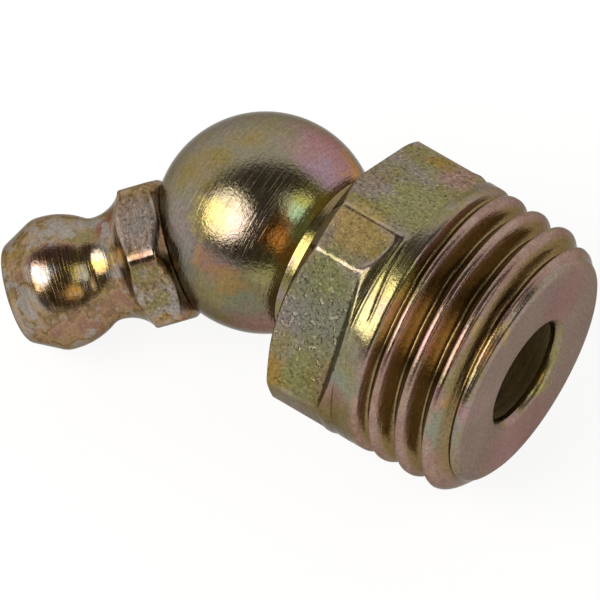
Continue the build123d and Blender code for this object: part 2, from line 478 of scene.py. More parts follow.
    def threaded(self, place: Array, angle: Array) -> tuple[Array, Array]:
        """The thread's surface.

        It is the soft minimum of the turned outline and, for each turn, of a V with a rounded
        root: blank less depth plus the distance past the root over the tangent of the flank's
        angle. The groove so fades out where the end is chamfered.

        Args:
            place: Places along the stud.
            angle: Angles about it.

        Returns:
            The radius, and how deep in the groove it lies, from 0 to 1.
        """
        outline, blank = self.turned(place), self.blank(place)
        radius = outline
        climb = tan(radians(self.flank_angle))
        for turn in self.groove_turns:
            turns = ((angle - self.start) % (2 * pi)) / (2 * pi) + turn
            aside = np.abs(place - self.groove_centre(turns)) - self.half_root
            wall = soft_max(aside / climb, 0.0, self.root_blend)
            radius = soft_min(radius, blank - self.groove_depth(turns) + wall, self.crest_blend)
        return radius, np.clip((outline - radius) / self.depth, 0.0, 1.0)

    def flat_profile(self, side: int, place: Array) -> Array:
        """Height of one flat over the axis: level, then a rounded step, then a slow rise.

        Args:
            side: Which of the four flats.
            place: Places along the stud.

        Returns:
            The heights.
        """
        foot, shoulder = self.foot_places[side], self.shoulder_places[side]
        low, high = self.square_height, self.band_radius - self.shoulder_depth
        out = self.band_radius + self.run_out_clearance
        step = low + (foot - place) * (high - low) / (foot - shoulder)
        rise = high + (shoulder - place) * (out - high) / (shoulder - self.run_out_place)
        rounded = soft_min(soft_max(step, low, self.foot_blend), rise, self.shoulder_blend)
        return np.where(place > foot + 2 * self.foot_blend, low, rounded)

    def squared(self, place: Array, angle: Array) -> tuple[Array, dict[str, Any]]:
        """The square's surface.

        A plane at height h over the axis has the radius h / cos of the angle from its middle.
        The surface is the soft minimum of the turned outline, four flats, four corner flats
        and a chamfer cone that stands off the axis.

        Args:
            place: Places along the stud.
            angle: Angles about it.

        Returns:
            The radius, and the values flat, edge and bore of the surface. Bore holds painted
            shade on the chamfer and the tool mark, and edge marks rubbed edges, whose pale tint
            is partly painted highlight.
        """
        aside = angle_from(angle, radians(self.mark_angle))
        mark = (place - self.mark_place - aside * self.mark_slope) / self.mark_width
        mark = np.exp(-(mark**2) - (aside / self.mark_spread) ** 2)
        barrel = radius = self.turned(place) - self.mark_depth * mark
        flat = edge = np.zeros_like(radius)
        first = self.axis.heading + radians(self.square_turn)
        for side in range(4):
            off = angle_from(angle, first + radians(45 + 90 * side))
            plane = self.plane(self.flat_profile(side, place), off, self.flat_reach)
            edge = np.maximum(edge, self.nearness(radius - plane, self.flat_wear_sheen))
            radius = soft_min(radius, plane, self.edge_blend)
            flat = np.maximum(flat, smooth_step(barrel - plane, 0.0, self.flat_depth))
        for corner in range(4):
            off = angle_from(angle, first + radians(90 * corner))
            limit = radians(self.corner_reach)
            across = self.corner_height * np.tan(np.clip(off, -limit, limit))
            start = self.corner_starts[corner] - across * self.corner_slants[corner]
            lift = np.maximum(start - place, 0.0) * self.corner_slope
            plane = self.plane(self.corner_height + lift, off, self.corner_reach)
            near = self.nearness(radius - plane, self.corner_wear_sheen)
            edge = np.maximum(edge, near * (place > self.corner_wear_sheen_start))
            cut = smooth_step(radius - plane, 0.0, self.corner_blend)
            flat = np.maximum(flat, self.corner_mask * cut)
            radius = soft_min(radius, plane, self.corner_blend)
        tilt = np.cos(angle - self.axis.heading - radians(self.chamfer_turn))
        cone = self.chamfer_radius + self.chamfer_offset * tilt
        cone = cone + (self.square_end - place) * self.chamfer_slope
        # Painted shade: a darker tint on the chamfer's cut and along the tool mark.
        dull = smooth_step(radius - cone, *self.chamfer_depth) * self.ball_side_shade
        dull = np.maximum(dull, mark * self.mark_groove_shade)
        # Edge marks rubbed edges, whose pale tint is partly wear and partly painted highlight.
        values = {"flat": flat, "edge": edge * smooth_step(place, *self.wear_sheen_fade), "bore": dull}
        return soft_min(radius, cone, self.chamfer_blend), values

    @staticmethod
    def plane(height: Array, off: Array, reach: float) -> Array:
        """Radius of a plane: height over cos of the angle off, and far out past its reach."""
        facing = np.abs(off) < radians(reach)
        return np.where(facing, height / np.cos(np.where(facing, off, 0.0)), FAR)

    @staticmethod
    def nearness(gap: Array, reach: float) -> Array:
        """Falls from 1 at no gap to 0 at reach."""
        return np.maximum(reach - np.abs(gap), 0.0) / reach

    def thread_rows(self, turns: Array) -> Array:
        """Places of the rows between one turn of the groove's centre line and the next.

        Each row lies at a fixed share of the near groove's half mouth, of the crest between
        the two mouths, or of the far groove's half mouth, so the rows follow the helix.

        Args:
            turns: Turns of the thread.

        Returns:
            One line of places for each of them.
        """
        climb = tan(radians(self.flank_angle))
        here, there = self.groove_centre(turns), self.groove_centre(turns + 1)
        near = self.half_root + self.groove_depth(turns) * climb
        far = self.half_root + self.groove_depth(turns + 1) * climb
        crest = there - here - near - far
        rows = [here + near * share for share in self.mouth_shares]
        rows += [here + near + crest * share for share in self.crest_shares]
        rows += [there - far * share for share in self.mouth_shares[:0:-1]]
        return np.stack(rows, axis=1)

    def inner_rows(self) -> Array:
        """Outline of the passage, the drill's cone, the bore and its edge.

        Returns:
            Rows of place and radius.
        """
        cone = (self.bore_radius - self.passage_radius) / tan(radians(self.drill_angle))
        edge, radius = self.bore_edge, self.bore_radius
        rows = [(self.neck_end - 0.1, self.passage_radius)]
        rows += [(self.bore_depth + cone, self.passage_radius), (self.bore_depth, radius)]
        rows += [(place, radius) for place in np.linspace(*self.bore_rows)]
        rows += [(edge + 0.08, radius), (edge, radius + 0.012), (edge / 2, radius + edge / 2)]
        return np.array(rows + [(0.012, radius + edge), (0.0, radius + edge + 0.05)])

    def add_end(self) -> Array:
        """Adds the bore and the end face.

        Returns:
            The numbers of their rows.
        """
        rows = self.inner_rows()
        depth = np.repeat(smooth_step(rows[:, 0], *self.bore_tint_depth), self.columns)
        inner = self.skin.add(around_stud(rows[:, :1], rows[:, 1:], self.angles), bore=depth)
        mouth = rows[-1, 1]
        reach = self.edge_radius - self.end_edge - mouth
        face = mouth + reach * np.array(self.face_shares)[:, None]
        face_rows = self.skin.add(around_stud(0.0, face, self.angles), face=1.0)
        numbers = np.concatenate([inner, face_rows])
        self.skin.sheet(numbers)
        return numbers

    def add_thread(self) -> None:
        """Adds the helical strip, whose columns run on through all the turns.

        Its rows are held between the end face and the band.
        """
        first, last = (int(self.columns * turn) for turn in self.strip_turns)
        turns = np.arange(first, last) / self.columns
        places = np.clip(self.thread_rows(turns), self.end_place, self.thread_stop)
        angles = (self.start + turns * 2 * pi)[:, None]
        radius, groove = self.threaded(places, angles)
        crest = smooth_step(places, *self.crest_fade)
        strip = self.skin.add(around_stud(places, radius, angles), groove=groove, crest=crest)
        near = strip[: -self.columns]
        following = np.c_[near[:, 1:], strip[self.columns :, 0]]
        self.skin.quads(near[:-1], near[1:], following[1:], following[:-1])

    def add_edge(self, face_row: Array) -> None:
        """Adds the quarter-round edge between the end face and the thread.

        Args:
            face_row: Numbers of the end face's outermost row.
        """
        bend = np.radians(self.end_bends)[:, None]
        place = self.end_place * (1 - np.cos(bend))
        radius = self.edge_radius - self.end_edge * (1 - np.sin(bend))
        rounded = self.skin.add(around_stud(place, radius, self.angles), face=self.edge_wear)
        self.skin.sheet(np.concatenate([face_row, rounded]))

    def add_square(self) -> Array:
        """Adds the band, the square, its back and the neck.

        Returns:
            The numbers of their rows.
        """
        skin, angles = self.skin, self.angles
        places = [spread(*band) for band in self.square_bands]
        places = np.concatenate([*places, [self.square_end - self.last_row]])[:, None]
        place, angle = np.broadcast_arrays(places, angles)
        radius, values = self.squared(place, angle)
        radius[0], _ = self.threaded(place[0], angles)
        square = skin.add(around_stud(place, radius, angle), **values)
        last, _ = self.squared(np.full_like(angles, self.square_end), angles)
        inner = self.neck_radius + self.fillet
        back = inner + (last - self.back_inset - inner) * np.array(self.back_shares)[:, None]
        # Painted shade on the square's back, beside the ball.
        back_rows = skin.add(around_stud(self.square_end, back, angles), bore=self.ball_side_shade)
        bends = np.radians((30, 60, 90))
        neck = [
            (self.square_end + self.fillet * (1 - cos(a)), inner - self.fillet * sin(a))
            for a in bends
        ]
        neck += [(place, self.neck_radius) for place in (*self.neck_places, self.neck_end)]
        neck = np.array(neck + [(self.neck_end + 0.05, self.neck_radius - 0.15)])
        neck_rows = skin.add(around_stud(neck[:, :1], neck[:, 1:], angles))
        return np.concatenate([square, back_rows, neck_rows])

    def build(self) -> Piece:
        """Makes the stud's closed skin from its bore, end face, thread, square and neck.

        Returns:
            The piece.
        """
        end = self.add_end()
        self.add_thread()
        self.add_edge(end[-1:])
        self.skin.sheet(np.concatenate([self.add_square(), end[:1]]))
        return self.skin.build()


# ---- ball, head and valve


@dataclass
class Ball:
    """The ball on the stud's neck, with the seat for the head and the grease passage."""

    axis: HeadAxis
    radius: float = 5.28
    seat_place: float = 4.2
    seat_blend: float = 0.02
    neck_radius: float = 4.03
    wall_place: float = 11.8
    passage_radius: float = 1.5
    pole_gap: float = 0.015
    columns: int = 256
    rows: int = 120

    def build(self) -> Piece:
        """Makes the sphere about the stud's axis, cut flat at the seat.

        A direction at the angle b from the axis has the distance R from the centre, or the
        seat's place over its share along the head's axis where that is less.

        Returns:
            The piece.
        """
        skin = Skin("ball_skin")
        angles = full_turn(self.columns)
        first = asin(self.neck_radius / self.radius)
        bend = np.linspace(first, pi - self.pole_gap, self.rows)[:, None]
        ways = around_stud(-np.cos(bend), np.sin(bend), angles)
        share = np.maximum(ways @ self.axis.along, 1e-3)
        reach = soft_min(self.radius, self.seat_place / share, self.seat_blend)
        centre, middle = self.axis.at(0.0), self.axis.ball_place
        inside = np.array(
            [
                (middle, 0.2),
                (middle, self.passage_radius),
                (self.wall_place, self.passage_radius),
                (self.wall_place - 0.02, self.neck_radius - 0.2),
            ]
        )
        walls = around_stud(inside[:, :1], inside[:, 1:], angles)
        outside = centre + ways * reach[..., None]
        skin.tube(np.concatenate([walls, outside]), centre, centre + (self.radius, 0.0, 0.0))
        return skin.build()


@dataclass
class Head:
    """The nipple's head: spigot, hexagon collar, neck, hooked rim, nose and valve chamber."""

    axis: HeadAxis
    columns: int = 240
    # Spigot, collar and neck.
    seat_place: float = 4.2
    spigot_radius: float = 2.5
    spigot_end: float = 0.8
    spigot_bevel: float = 0.3
    bevel: float = 0.02
    collar_width: float = 6.8
    collar_turn: float = -15.3
    corner_cut: float = 0.1
    chamfer_length: float = 0.6
    chamfer_width: float = 0.72
    edge_blend: float = 0.22
    neck_place: float = 8.0
    neck_radius: float = 2.52
    flare_radius: float = 2.02
    root_radius: float = 0.9
    # Hooked rim and nose.
    hook_angle: float = 33.0
    rim_radius: float = 3.25
    rim_length: float = 0.15
    front_radius: float = 1.0
    nose_angle: float = 27.5
    tip_place: float = 12.6
    tip_edge: float = 0.5
    # Tip's hole, chamber and passage.
    tip_hole: float = 0.8
    tip_hole_length: float = 0.4
    chamber_radius: float = 1.5
    chamber_floor: float = 5.5
    passage_stop: float = 2.0
    # About how far apart the outline's points are.
    step: float = 0.06
    flare_step: float = 0.072
    back_step: float = 0.07
    collar_step: float = 0.09

    def arc(self, centre: Pair, radius: float, start: float, stop: float, step: float) -> Array:
        """Points on a circle: its centre plus radius times sine and cosine of each angle.

        Args:
            centre: Place and distance from the axis.
            radius: The circle's radius.
            start: First angle, from the way out of the axis towards the tip.
            stop: Last angle.
            step: About how far apart the points are.

        Returns:
            Rows of place and radius.
        """
        count = max(3, int(abs(radians(stop - start)) * radius / step) + 1)
        turn = np.radians(np.linspace(start, stop, count))
        return np.c_[centre[0] + radius * np.sin(turn), centre[1] + radius * np.cos(turn)]

    def outline(self) -> Array:
        """The turned outline from the seat to the tip's edge, as tangent arcs and lines.

        Returns:
            Rows of place and radius.
        """
        corner = self.collar_width / sqrt(3) - self.corner_cut
        flare_centre = self.neck_radius + self.flare_radius
        flare = acos((flare_centre - corner) / self.flare_radius)
        collar_end = self.neck_place - self.flare_radius * sin(flare)
        chamfer_top = self.seat_place + self.chamfer_length
        hook, nose = radians(self.hook_angle), radians(self.nose_angle)
        root_end = self.neck_radius + self.root_radius * (1 - cos(hook))
        back = (self.rim_radius - root_end) / (1 - cos(hook))
        rim_place = self.neck_place + (self.root_radius + back) * sin(hook)
        front = (rim_place + self.rim_length, self.rim_radius - self.front_radius)
        front = self.arc(front, self.front_radius, 0, self.nose_angle, self.step)
        # The tip's edge is a fillet between the nose's slope and the flat tip.
        tip_radius = front[-1, 1] - (self.tip_place - front[-1, 0]) * tan(nose)
        reach = self.tip_edge * tan(radians(90 - self.nose_angle) / 2)
        edge = (self.tip_place - self.tip_edge, tip_radius - reach)
        edge = self.arc(edge, self.tip_edge, self.nose_angle, 90, self.step)
        root = (self.neck_place, self.neck_radius + self.root_radius)
        root_stop = 180 - self.hook_angle
        rim = (rim_place, self.rim_radius - back)
        flare_middle, flare_start = (self.neck_place, flare_centre), 180 + degrees(flare)
        low, high = (self.seat_place + 0.01, corner - self.chamfer_width), (chamfer_top, corner)
        collar = spread(chamfer_top + 0.05, collar_end, self.collar_step)
        parts = (
            np.linspace(low, high, 10),
            np.c_[collar, np.full(len(collar), corner)],
            self.arc(flare_middle, self.flare_radius, flare_start, 180, self.flare_step),
            self.arc(root, self.root_radius, 180, root_stop, self.step)[1:],
            self.arc(rim, back, -self.hook_angle, 0, self.back_step)[1:],
            front,
            np.linspace(front[-1], edge[0], 14)[1:-1],
            edge,
        )
        return np.concatenate(parts)

    def hexagon(self, angle: Array) -> Array:
        """Radius of the collar's hexagon: half its width over cos of the angle from a flat.

        Args:
            angle: Angles about the axis.

        Returns:
            The radii.
        """
        sector = radians(60)
        off = (angle - radians(self.collar_turn)) % sector - sector / 2
        return self.collar_width / 2 / np.cos(off)

    def build(self) -> Piece:
        """Makes the head's closed skin: spigot, outline cut by the hexagon, and the chamber.

        Returns:
            The piece.
        """
        skin = Skin("head_skin")
        angles = full_turn(self.columns)
        outline = self.outline()
        spigot, hole, chamber = self.spigot_radius, self.tip_hole, self.chamber_radius
        bevel = self.bevel
        before = [
            (self.spigot_end, hole / 2),
            (self.spigot_end, spigot - self.spigot_bevel),
            (self.spigot_end + self.spigot_bevel, spigot),
            (self.seat_place - bevel, spigot),
            (self.seat_place, spigot + bevel),
        ]
        tip, valve_seat = self.tip_place, self.tip_place - self.tip_hole_length
        after = [
            (tip, outline[-1, 1] - 0.3),
            (tip, hole + 0.1),
            (tip - 0.03, hole + 0.03),
            (tip - 0.08, hole),
            (valve_seat + bevel, hole),
            (valve_seat - bevel, hole + bevel),
            (valve_seat - (chamber - hole), chamber),
            (self.chamber_floor, chamber),
            (self.chamber_floor, hole),
            (self.passage_stop, hole),
        ]
        place, turned = np.concatenate([before, outline, after]).T[..., None]
        cut = self.hexagon(angles)
        on_collar = (place > self.seat_place) & (place < self.neck_place)
        radius = np.where(on_collar, soft_min(turned, cut, self.edge_blend), turned)
        flat = np.where(on_collar, smooth_step(turned - cut, -0.02, 0.1), 0.0)
        ends = self.axis.at(self.spigot_end), self.axis.at(self.passage_stop)
        skin.tube(self.axis.points(place, radius, angles), *ends, flat=flat)
        return skin.build()


@dataclass
class CheckBall:
    """The valve's ball behind the tip hole."""

    axis: HeadAxis
    radius: float = 1.2
    place: float = 11.2605
    columns: int = 72
    rows: int = 36

    def build(self) -> Piece:
        """Makes the sphere: place less R cos b along the axis, and radius R sin b.

        Returns:
            The piece.
        """
        skin = Skin("check_ball_skin")
        bend = np.linspace(0, pi, self.rows + 1)[1:-1, None]
        place, radius = self.place - self.radius * np.cos(bend), self.radius * np.sin(bend)
        ends = self.axis.at(self.place - self.radius), self.axis.at(self.place + self.radius)
        skin.tube(self.axis.points(place, radius, full_turn(self.columns)), *ends)
        return skin.build()


@dataclass
class Spring:
    """The wire spring behind the check ball, with a closed turn at each end."""

    axis: HeadAxis
    joint: str = "valve_slide"
    travel: float = 0.8
    floor: float = 5.5
    start: float = 5.705
    stop: float = 10.2254
    closed_rise: float = 0.38
    turns: int = 6
    coil_radius: float = 0.95
    wire_radius: float = 0.175
    phase: float = -69.6
    sides: int = 12
    steps: int = 40

    def build(self) -> Piece:
        """Sweeps the wire's circle along the coil, square to its tangent.

        The coil's place rises by closed_rise over the first and the last turn and evenly
        between them. A point of the circle at the angle b stands out by r cos b, along by
        r sin b times cos of the coil's lean, and back by r sin b times sin of it.

        Returns:
            The piece.
        """
        skin = Skin("spring_coil")
        turns = np.linspace(0, self.turns, self.turns * self.steps + 1)
        rise = self.closed_rise
        heights = (self.start, self.start + rise, self.stop - rise, self.stop)
        place = np.interp(turns, (0, 1, self.turns - 1, self.turns), heights)
        turned = 2 * pi * turns + radians(self.phase)
        lean = np.arctan(np.gradient(place, turns) / (2 * pi * self.coil_radius))[:, None]
        bend = -full_turn(self.sides)
        radius = self.coil_radius + self.wire_radius * np.cos(bend)
        aside = self.wire_radius * np.sin(bend)
        angle = turned[:, None] - aside * np.sin(lean) / radius
        rows = self.axis.points(place[:, None] + aside * np.cos(lean), radius, angle)
        wire = self.axis.points(place, self.coil_radius, turned)
        skin.tube(rows, wire[0], wire[-1])
        return skin.build()

    def press(self, piece: Piece) -> None:
        """Gives the coil its own copy of its mesh.

        Args:
            piece: The coil.
        """
        anchor = self.axis.at(self.floor) * MM
        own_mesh(piece)


# ---- shader maths


def feed(tree: Tree, socket: Socket, given: Any) -> None:
    """Links an input to a Value or a socket, or sets it.

    Args:
        tree: The tree of the input.
        socket: The input.
        given: What it gets. A colour may leave out its alpha.
    """
    given = given.socket if isinstance(given, Value) else given
    if isinstance(given, Socket):
        tree.links.new(given, socket)
    elif socket.type == "RGBA":
        socket.default_value = (*given, 1.0)[:4]
    else:
        socket.default_value = given


def operator(operation: str, swap: bool = False) -> Callable[["Value", Any], "Value"]:
    """An operator of Value that adds this Math node, swapped for the reflected forms."""
    return lambda value, other: value.math(operation, other, swap)


class Value:
    """A number on a node's output socket; expressions on it add Math nodes."""

    def __init__(self, tree: Tree, socket: Socket) -> None:
        """Wraps a socket of this tree."""
        self.tree = tree
        self.socket = socket

    def math(self, operation: str, other: Union["Value", float], swap: bool = False) -> "Value":
        """Adds a Math node.

        Args:
            operation: The Math node's operation.
            other: The other input.
            swap: Puts this value second, for the reflected forms.

        Returns:
            The node's result.
        """
        node = self.tree.nodes.new("ShaderNodeMath")
        node.operation = operation
        for socket, given in zip(node.inputs, (other, self) if swap else (self, other)):
            feed(self.tree, socket, given)
        return Value(self.tree, node.outputs[0])

    __add__ = __radd__ = operator("ADD")
    __sub__ = operator("SUBTRACT")
    __rsub__ = operator("SUBTRACT", swap=True)
    __mul__ = __rmul__ = operator("MULTIPLY")
    __truediv__ = operator("DIVIDE")
    __rtruediv__ = operator("DIVIDE", swap=True)
    __pow__ = operator("POWER")
    max_with = operator("MAXIMUM")

    def between(self, low: float, high: float) -> "Value":
        """Adds a smooth step.

        Args:
            low: Where it is 0.
            high: Where it is 1. It may be the lower of the two.

        Returns:
            The step, held at 0 and 1 beyond its ends.
        """
        node = self.tree.nodes.new("ShaderNodeMapRange")
        node.interpolation_type = "SMOOTHSTEP"
        limits = (low, high, 0.0, 1.0) if low <= high else (high, low, 1.0, 0.0)
        for name, limit in zip(("From Min", "From Max", "To Min", "To Max"), limits):
            node.inputs[name].default_value = limit
        self.tree.links.new(self.socket, node.inputs["Value"])
        return Value(self.tree, node.outputs["Result"])

    def over(self, band: Band) -> "Value":
        """Smooth step over a named range."""
        return self.between(*band.value)

    def clamped(self) -> "Value":
        """Held between 0 and 1."""
        return self.math("MAXIMUM", 0.0).math("MINIMUM", 1.0)


class Board:
    """A node tree with one method that adds any node."""

    mix_inputs = (0, 6, 7)  # factor and both colours
    mix_output = 2

    def __init__(self, tree: Tree) -> None:
        """Empties the tree."""
        self.tree = tree
        tree.nodes.clear()

    def node(self, kind: str, settings: Optional[dict[str, Any]] = None, **inputs: Any) -> Node:
        """Adds a node.

        Args:
            kind: The node's type.
            settings: Its properties.
            **inputs: What its inputs get, by name, with spaces as underscores.

        Returns:
            The node.
        """
        made = self.tree.nodes.new(kind)
        for key, value in (settings or {}).items():
            setattr(made, key, value)
        for key, given in inputs.items():
            feed(self.tree, made.inputs[key.replace("_", " ")], given)
        return made

    def ramp(self, value: Value, stops: tuple[tuple[float, Colour], ...]) -> Socket:
        """Looks a value up in a run of tints.

        Args:
            value: Place in the run, from 0 to 1.
            stops: Places and tints.

        Returns:
            The tint.
        """
        made = self.node("ShaderNodeValToRGB", Fac=value)
        ramp = made.color_ramp
        while len(ramp.elements) < len(stops):
            ramp.elements.new(0.5)
        for element, (place, colour) in zip(ramp.elements, stops):
            element.position = place
            element.color = (*colour, 1.0)
        return made.outputs["Color"]

    def value(self, socket: Socket) -> Value:
        """Wraps a socket for maths."""
        return Value(self.tree, socket)

    def vector_node(self, operation: str, first: Any, second: Any) -> Node:
        """Adds a Vector Math node.

        Args:
            operation: What it does.
            first: Its first input.
            second: Its second input.

        Returns:
            The node.
        """
        made = self.node("ShaderNodeVectorMath", {"operation": operation})
        for socket, given in zip(made.inputs, (first, second)):
            feed(self.tree, socket, given)
        return made

    def vector(self, operation: str, first: Any, second: Any) -> Socket:
        """Vector that comes of two vectors."""
        return self.vector_node(operation, first, second).outputs["Vector"]

    def measure(self, operation: str, first: Any, second: Any) -> Value:
        """Number that comes of two vectors, such as their distance."""
        return self.value(self.vector_node(operation, first, second).outputs["Value"])

    def mix(self, share: Any, first: Any, second: Any, blend: str = "MIX") -> Socket:
        """Mixes two colours.

        Args:
            share: How much of the second colour there is.
            first: Colour where share is 0.
            second: Colour where share is 1.
            blend: The Mix node's way to blend.

        Returns:
            The mixed colour.
        """
        made = self.node("ShaderNodeMix", {"data_type": "RGBA", "blend_type": blend})
        for number, given in zip(self.mix_inputs, (share, first, second)):
            feed(self.tree, made.inputs[number], given)
        return made.outputs[self.mix_output]

    def noise(self, vector: Socket, scale: float, detail: float, rough: float = 0.55) -> Value:
        """Fractal noise about 0.5, with so many finer layers of this strength."""
        inputs = {"Vector": vector, "Scale": scale, "Detail": detail, "Roughness": rough}
        return self.value(self.node("ShaderNodeTexNoise", **inputs).outputs["Fac"])

    def attribute(self, name: str) -> Value:
        """A float attribute of the piece."""
        made = self.node("ShaderNodeAttribute", {"attribute_name": name})
        return self.value(made.outputs["Fac"])

    def show(self, shader: Node, kind: str = "ShaderNodeOutputMaterial") -> None:
        """Links a shader to an output node of this kind."""
        self.node(kind, Surface=shader.outputs[0])


def new_material(name: str) -> tuple[Material, Board]:
    """Makes a material.

    Args:
        name: Its name.

    Returns:
        The material, and the board of its nodes.
    """
    material = bpy.data.materials.new(name)
    material.use_nodes = True
    return material, Board(material.node_tree)


# ---- finishes

GREY_MAUVE = (0.265, 0.215, 0.195)
GREY_OLIVE = (0.25, 0.215, 0.14)
OLIVE = (0.24, 0.205, 0.085)
GRASS = (0.20, 0.205, 0.075)
FERN = (0.17, 0.19, 0.135)
MOSS = (0.27, 0.255, 0.115)
SEA_GREEN = (0.20, 0.245, 0.18)
SEA_PALE = (0.34, 0.45, 0.30)
OCHRE = (0.30, 0.19, 0.05)
AMBER = (0.50, 0.26, 0.08)
COPPER = (0.35, 0.165, 0.045)
BRASS = (0.42, 0.30, 0.09)
GOLD = (0.50, 0.35, 0.10)
HONEY = (0.42, 0.34, 0.13)
LEMON = (0.40, 0.36, 0.10)
HAY = (0.40, 0.36, 0.14)
STRAW = (0.40, 0.36, 0.16)
ROSE = (0.35, 0.18, 0.18)
BLUSH = (0.31, 0.165, 0.155)
VIOLET = (0.31, 0.21, 0.25)
RUST = (0.26, 0.14, 0.095)
CHESTNUT = (0.22, 0.10, 0.06)
CREST = (0.37, 0.24, 0.195)
TAN = (0.33, 0.235, 0.21)
PALE = (0.42, 0.33, 0.285)
ASH = (0.33, 0.29, 0.255)
BROWN = (0.34, 0.23, 0.125)
BRONZE = (0.235, 0.165, 0.07)
BORE_BROWN = (0.30, 0.225, 0.115)
UMBER = (0.17, 0.115, 0.05)
PEAT = (0.17, 0.11, 0.045)
TAR = (0.085, 0.06, 0.025)
SILVER = (0.42, 0.40, 0.375)
BRIGHT_STEEL = (0.5, 0.49, 0.47)
DULL_STEEL = (0.42, 0.41, 0.40)
WHITE = (1.0, 1.0, 1.0)


@dataclass(frozen=True)
class TintAndLightPatch:
    """A soft-edged patch of tint, with its share over what lies under it. Some tint the film;
    others paint highlights, reflections and shade where they fall.
    """

    centre: Point
    reach: float
    colour: Colour
    share: float

    def cover(self, board: Board, point: Socket, edge: Pair) -> Value:
        """Smooth step of the distance from the centre, between two shares of the reach."""
        away = board.measure("DISTANCE", point, self.centre)
        return away.between(edge[0] * self.reach, edge[1] * self.reach)


def tint_and_light_patches(rows: tuple[tuple, ...]) -> tuple[TintAndLightPatch, ...]:
    """Patches from rows of x, y, z, reach, tint and share."""
    return tuple(TintAndLightPatch(row[:3], *row[3:]) for row in rows)


@dataclass(frozen=True)
class PlatedFinish:
    """Zinc plate with a yellow film whose tint drifts over the surface."""

    name: str
    stops: tuple[tuple[float, Colour], ...]
    # Axis that the turning marks run around.
    grain_axis: Point
    # Depth in micrometres of the turning marks, of the pits on flats and of the fine grain.
    grain: float = 6.0
    pits: float = 28.0
    speckle: float = 8.0
    # Lowest and highest roughness of the marks, and scale of the film's drift per millimetre.
    roughness: Pair = (0.15, 0.28)
    drift: float = 0.28
    # Patches of tint over the film, some of them painted highlights, reflections and shade.
    tint_and_light_patches: tuple[TintAndLightPatch, ...] = ()
    # Tints deep in the thread and of dull bare patches, where the piece has them.
    groove_colour: Optional[Colour] = None
    blotch_colour: Optional[Colour] = None
    # Patch with small dents, whose share is their depth in micrometres.
    dents: Optional[TintAndLightPatch] = None
    # Film: a middle, how strongly drift, patches and fine grain move it, and the patches' scale.
    film_middle: float = 0.42
    film_gains: Point = (2.0, 0.9, 0.15)
    patch_scale: float = 3.1
    # Shares of the tints over it.
    rosy_share: float = 0.7
    crest_share: float = 0.75
    face_share: float = 0.85
    worn_sheen_share: float = 0.75
    blotch_share: float = 0.8
    groove_share: float = 0.9
    # Edges of the patches: how ragged, and where they begin and end.
    warp_scale: float = 0.9
    warp_detail: float = 5.0
    warp_reach: float = 2.6
    tint_and_light_edge: Pair = (1.2, 0.4)
    dent_edge: Pair = (1.2, 0.5)
    # Turning marks: scale around the axis and along it.
    mark_scales: Pair = (0.22, 9.0)
    # Shade: a middle, and strengths on turned faces with what flats add to them.
    shade_middle: float = 0.97
    fine_shade: Pair = (0.9, 0.7)
    mark_shade: Pair = (0.5, -0.4)
    pore_shade: Pair = (0.15, 0.3)
    # Painted glints: strength of the light specks.
    glint_speck_shade: Pair = (0.15, 0.7)
    # Roughness that comes on top.
    flat_rough: float = 0.1
    pit_rough: float = 0.1
    bore_rough: float = 0.35
    corner_rough: float = 0.17
    dent_rough: float = 0.2
    # Relief: craters as a share of the pits, scratches of the marks, and marks lost on flats.
    crater_share: float = 0.35
    scratch_share: float = 0.5
    lost_marks: float = 0.85
    # Painted glint: colour that the dents are brightened by, and its share.
    glint: Colour = (1.9, 1.8, 1.75)
    glint_share: float = 0.8
    specular: Colour = (0.45, 0.43, 0.4)

    def make(self) -> Material:
        """Builds the material's nodes.

        Returns:
            The material.
        """
        material, board = new_material(self.name)
        masks = Masks(board, self)
        colour = board.mix(1.0, self.tint(masks), self.shade(masks), "MULTIPLY")
        rough, relief = self.rough(masks), self.relief(masks)
        if self.dents:
            cover = self.dents.cover(board, masks.ragged, self.dent_edge) * masks.flat
            dent = board.noise(masks.point, *Grain.DENTS.value).over(Band.DENT) * cover
            relief = relief - dent * self.dents.share
            rough = rough - dent * self.dent_rough
            # Painted glint: the dents' colour is brightened.
            bright = board.mix(1.0, colour, self.glint, "MULTIPLY")
            colour = board.mix(dent * self.glint_share, colour, bright)
        bump = board.node("ShaderNodeBump", Strength=1.0, Distance=MICROMETRE, Height=relief)
        shader = board.node(
            "ShaderNodeBsdfPrincipled",
            Base_Color=colour,
            Metallic=1.0,
            Roughness=rough.clamped(),
            Normal=bump.outputs["Normal"],
            Specular_Tint=self.specular,
        )
        board.show(shader)
        return material

    def tint(self, masks: "Masks") -> Socket:
        """Lays the film, the pale tint of rubbed edges, the patches, the blotches and the darker
        tint deep in the grooves and bore over each other. The pale edges are partly painted
        highlight, some patches are painted highlights, reflections and shade, and the darker
        tint on the square's chamfer, its back and the tool mark is painted shade.

        Args:
            masks: The material's masks.

        Returns:
            The tint.
        """
        board = masks.board
        drift = board.noise(masks.point, self.drift, 2.0)
        patch = board.noise(masks.point, self.drift * self.patch_scale, 2.0, 0.5)
        drift_gain, patch_gain, fine_gain = self.film_gains
        film = (drift - 0.5) * drift_gain + (patch - 0.5) * patch_gain
        film = film + (masks.fine - 0.5) * fine_gain + self.film_middle
        colour = board.ramp(film.clamped(), self.stops)
        if self.groove_colour:
            rosy = board.mix(patch.over(Band.ROSY) * self.rosy_share, CREST, BLUSH)
            colour = board.mix(board.attribute("crest") * self.crest_share, colour, rosy)
            colour = board.mix(board.attribute("face") * self.face_share, colour, TAN)
            # Rubbed edges: a pale tint, partly wear and partly painted highlight.
            worn_and_sheen = board.attribute("edge").over(Band.WORN_SHEEN_EDGE) * patch.over(Band.WORN_SHEEN_PATCH)
            colour = board.mix(worn_and_sheen * self.worn_sheen_share, colour, PALE)
